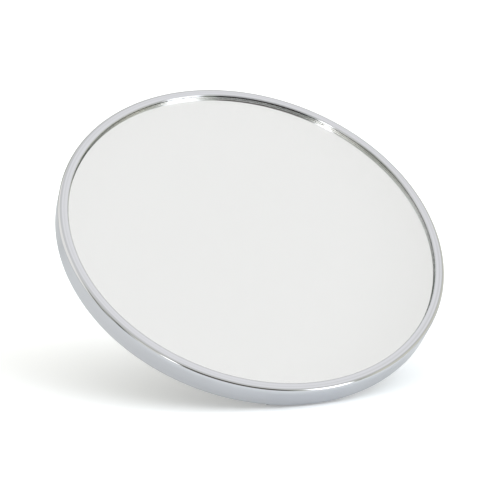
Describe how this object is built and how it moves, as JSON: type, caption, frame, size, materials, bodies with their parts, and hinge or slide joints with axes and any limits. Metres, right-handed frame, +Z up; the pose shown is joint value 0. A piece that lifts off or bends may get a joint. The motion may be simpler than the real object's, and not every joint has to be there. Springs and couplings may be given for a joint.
{
  "type": "countertop mirror",
  "caption": "Round countertop mirror with a plain chrome rim and flat glass, leaning back on a folding wire stand hinged behind it.",
  "frame": {"origin": "on the counter, under the middle of the object's box, with the stand open as in use", "axes": "+Z up, +X to the mirror's right as seen from the front, -Y towards the person who looks into the mirror"},
  "size_m": [0.2, 0.1576, 0.1399],
  "materials": {
    "chrome": "polished chrome plate on steel",
    "mirror_glass": "2 mm float glass, silvered and painted on the back, seamed edge",
    "foam": "grey closed-cell foam mounting pad, adhesive on both sides",
    "moulded_black": "black moulded plastic, fine spark texture",
    "spring_steel": "phosphated spring steel, oiled",
    "zinc_steel": "bright zinc-plated sheet steel",
    "screw_steel": "zinc-plated pan-head screws with cross recess",
    "nylon": "natural nylon",
    "rubber": "black moulded rubber"
  },
  "bodies": {
    "mirror": {"rim": "chrome", "mirror_glass": "mirror_glass", "foam_pad": "foam", "back_plate": "moulded_black", "retaining_ring": "spring_steel", "rim_foot": "rubber", "hinge_bracket": "zinc_steel", "bracket_screw_1": "screw_steel", "bracket_screw_2": "screw_steel", "bracket_screw_3": "screw_steel", "bracket_screw_4": "screw_steel", "fold_rest_left": "rubber", "fold_rest_right": "rubber"},
    "stand": {"stand_wire": "chrome", "pivot_washer_left": "nylon", "pivot_washer_right": "nylon", "pivot_cap_left": "zinc_steel", "pivot_cap_right": "zinc_steel", "stand_foot_left": "rubber", "stand_foot_right": "rubber"}
  },
  "joints": [
    {"name": "stand_fold", "type": "hinge", "parent": "mirror", "child": "stand", "pos_m": [0, 0.03318, 0.08553], "axis": [-1, 0, 0], "range_deg": [0, 59]}
  ]
}
